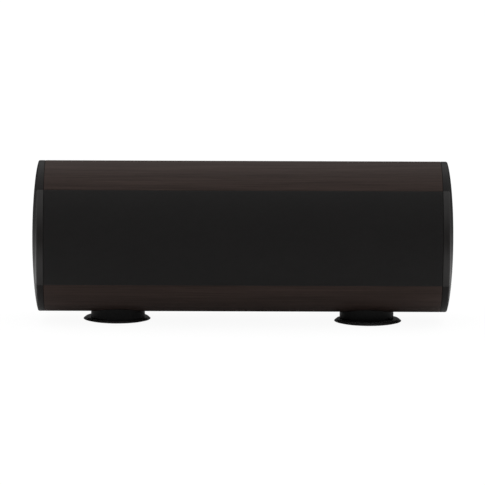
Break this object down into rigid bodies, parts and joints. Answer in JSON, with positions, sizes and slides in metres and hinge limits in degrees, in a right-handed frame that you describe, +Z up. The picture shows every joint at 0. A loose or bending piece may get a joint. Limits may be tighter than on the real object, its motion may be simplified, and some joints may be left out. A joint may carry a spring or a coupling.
{
  "type": "subwoofer",
  "caption": "Barrel-shaped powered subwoofer lying on round swivel feet, with wood-grain shell, domed end caps, lift-off curved cloth grille and rear amplifier plate.",
  "frame": {"origin": "on the floor, under the middle of the barrel", "axes": "+X along the barrel to the right seen from the front, -Y to the front where the grille is, +Z up"},
  "size_m": [0.6694, 0.2429, 0.2554],
  "materials": {
    "wood_grain": "dark brown wood-grain wrap, satin, grain along the barrel",
    "black_board": "black painted fibreboard, matt",
    "satin_plastic": "black satin moulding, softly reflecting",
    "frame_plastic": "black matt moulding",
    "knob_plastic": "black fine-textured moulding",
    "gloss_plastic": "black gloss",
    "grille_cloth": "fine black open weave, stretched",
    "wadding": "soft grey fibre wadding",
    "rubber": "black rubber, matt",
    "black_steel": "black powder-coated pressed steel",
    "zinc_steel": "zinc-plated steel",
    "ferrite": "dark grey sintered ferrite",
    "cone_paper": "black coated pulp",
    "dust_cap": "black satin cap",
    "spider_cloth": "amber resin-treated weave",
    "copper_winding": "enamelled copper wire",
    "plate_metal": "black powder coat, fine texture",
    "black_alloy": "black anodised",
    "circuit_board": "green solder mask",
    "led_lens": "clear green lens"
  },
  "bodies": {
    "cabinet": {"cabinet_shell": "wood_grain", "front_baffle": "black_board", "cabinet_brace": "black_board", "end_panel_left": "black_board", "end_panel_right": "black_board", "damping_pad_left": "wadding", "damping_pad_right": "wadding", "end_cap_left": "satin_plastic", "end_cap_right": "satin_plastic", "port_tube_left": "frame_plastic", "port_tube_right": "frame_plastic", "amp_plate": "plate_metal", "heat_sink": "black_alloy", "phase_switch_body": "zinc_steel", "mode_switch_body": "zinc_steel", "rocker_housing": "frame_plastic", "mains_inlet": "frame_plastic", "line_sockets": "frame_plastic", "status_led": "led_lens", "amp_board": "circuit_board", "mains_transformer": "copper_winding", "woofer_lead_left": "rubber", "woofer_lead_right": "rubber", "woofer_basket_left": "black_steel", "woofer_top_plate_left": "zinc_steel", "woofer_magnet_left": "ferrite", "woofer_yoke_left": "zinc_steel", "woofer_surround_left": "rubber", "woofer_spider_left": "spider_cloth", "woofer_gasket_left": "rubber", "foot_neck_left": "gloss_plastic", "foot_bolt_left": "zinc_steel", "woofer_basket_right": "black_steel", "woofer_top_plate_right": "zinc_steel", "woofer_magnet_right": "ferrite", "woofer_yoke_right": "zinc_steel", "woofer_surround_right": "rubber", "woofer_spider_right": "spider_cloth", "woofer_gasket_right": "rubber", "foot_neck_right": "gloss_plastic", "foot_bolt_right": "zinc_steel"},
    "grille": {"grille_cloth": "grille_cloth", "grille_frame": "frame_plastic", "grille_trim_left": "satin_plastic", "grille_trim_right": "satin_plastic"},
    "cone_left": {"woofer_cone_left": "cone_paper", "woofer_dust_cap_left": "dust_cap", "woofer_voice_coil_left": "copper_winding"},
    "cone_right": {"woofer_cone_right": "cone_paper", "woofer_dust_cap_right": "dust_cap", "woofer_voice_coil_right": "copper_winding"},
    "level_knob": {"level_knob": "knob_plastic"},
    "crossover_knob": {"crossover_knob": "knob_plastic"},
    "phase_slider": {"phase_switch_slider": "knob_plastic"},
    "mode_slider": {"mode_switch_slider": "knob_plastic"},
    "power_rocker": {"power_rocker": "gloss_plastic"},
    "foot_left": {"foot_disc_left": "gloss_plastic", "foot_pad_left": "rubber"},
    "foot_right": {"foot_disc_right": "gloss_plastic", "foot_pad_right": "rubber"}
  },
  "joints": [
    {"name": "grille_pull", "type": "slide", "parent": "cabinet", "child": "grille", "axis": [0, -0.995, 0.1002], "range_m": [0, 0.08]},
    {"name": "cone_left_travel", "type": "slide", "parent": "cabinet", "child": "cone_left", "axis": [0, -0.995, 0.1002], "range_m": [-0.005, 0.005], "stiffness_N_per_m": 1000, "deforming": ["woofer_surround_left", "woofer_spider_left"]},
    {"name": "cone_right_travel", "type": "slide", "parent": "cabinet", "child": "cone_right", "axis": [0, -0.995, 0.1002], "range_m": [-0.005, 0.005], "stiffness_N_per_m": 1000, "deforming": ["woofer_surround_right", "woofer_spider_right"]},
    {"name": "level_knob_turn", "type": "hinge", "parent": "cabinet", "child": "level_knob", "pos_m": [-0.096, 0.0943, 0.1654], "axis": [0, 1, 0], "range_deg": [-150, 150]},
    {"name": "crossover_knob_turn", "type": "hinge", "parent": "cabinet", "child": "crossover_knob", "pos_m": [-0.056, 0.0943, 0.1654], "axis": [0, 1, 0], "range_deg": [-150, 150]},
    {"name": "phase_switch_slide", "type": "slide", "parent": "cabinet", "child": "phase_slider", "axis": [-1, 0, 0], "range_m": [0, 0.005]},
    {"name": "mode_switch_slide", "type": "slide", "parent": "cabinet", "child": "mode_slider", "axis": [-1, 0, 0], "range_m": [0, 0.005]},
    {"name": "power_rocker_tilt", "type": "hinge", "parent": "cabinet", "child": "power_rocker", "pos_m": [0.048, 0.0943, 0.0954], "axis": [-1, 0, 0], "range_deg": [0, 20]},
    {"name": "foot_left_swivel", "type": "hinge", "parent": "cabinet", "child": "foot_left", "pos_m": [-0.1985, 0, 0], "axis": [0, 0, 1], "range_deg": [-90, 90]},
    {"name": "foot_right_swivel", "type": "hinge", "parent": "cabinet", "child": "foot_right", "pos_m": [0.1985, 0, 0], "axis": [0, 0, 1], "range_deg": [-90, 90]}
  ]
}
